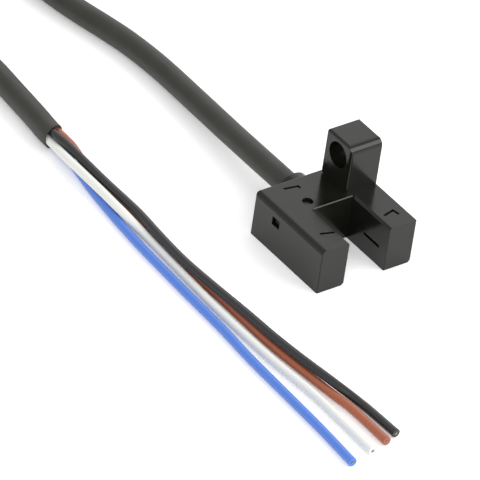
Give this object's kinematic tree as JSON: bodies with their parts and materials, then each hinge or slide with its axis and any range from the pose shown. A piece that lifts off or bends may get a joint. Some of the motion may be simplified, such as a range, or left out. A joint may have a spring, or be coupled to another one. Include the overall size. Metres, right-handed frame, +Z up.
{
  "type": "fork sensor",
  "caption": "Small black U-shaped photoelectric fork sensor with a drilled mounting tab and a pre-wired cable ending in four loose coloured wires.",
  "frame": {"origin": "middle of the sensor's footprint, cable boss included, on the surface it stands on", "axes": "+X across the fork towards the mounting tab's side, +Y towards the cable, +Z up; the fork opens to -Y"},
  "size_m": [0.0404, 0.1429, 0.0131],
  "materials": {
    "case_plastic": "matte moulded black",
    "cover_plastic": "matte moulded black",
    "board_laminate": "green solder mask",
    "clear_resin": "clear cast resin",
    "dark_resin": "infrared-passing dark resin",
    "window_plastic": "deep red infrared filter",
    "lamp_resin": "pale lamp body",
    "pipe_plastic": "clear amber light pipe",
    "chip_mould": "matte black moulding compound",
    "tinned_metal": "tinned",
    "ceramic": "fired ceramic",
    "resistor": "coated ceramic",
    "clamp_metal": "plain crimped brass",
    "jacket": "satin vinyl jacket, dark grey",
    "brown_skin": "satin vinyl insulation",
    "black_skin": "satin vinyl insulation",
    "white_skin": "satin vinyl insulation",
    "blue_skin": "satin vinyl insulation",
    "tie_plastic": "matte strap"
  },
  "bodies": {
    "root": {"housing": "case_plastic", "bottom_cover": "cover_plastic", "circuit_board": "board_laminate", "emitter": "clear_resin", "emitter_leads": "tinned_metal", "emitter_window": "window_plastic", "receiver": "dark_resin", "receiver_leads": "tinned_metal", "receiver_window": "window_plastic", "indicator_led": "lamp_resin", "light_pipe": "pipe_plastic", "control_ic": "chip_mould", "output_transistors": "chip_mould", "component_leads": "tinned_metal", "chip_resistors": "resistor", "chip_capacitors": "ceramic", "cable_clamp": "clamp_metal", "cable_entry": "jacket", "brown_core": "brown_skin", "black_core": "black_skin", "white_core": "white_skin", "blue_core": "blue_skin", "solder_joints": "tinned_metal", "cable_lead": "jacket", "cable_coil": "jacket", "coil_tie": "tie_plastic", "cable_tail": "jacket", "brown_wire": "brown_skin", "black_wire": "black_skin", "white_wire": "white_skin", "blue_wire": "blue_skin"}
  },
  "joints": []
}
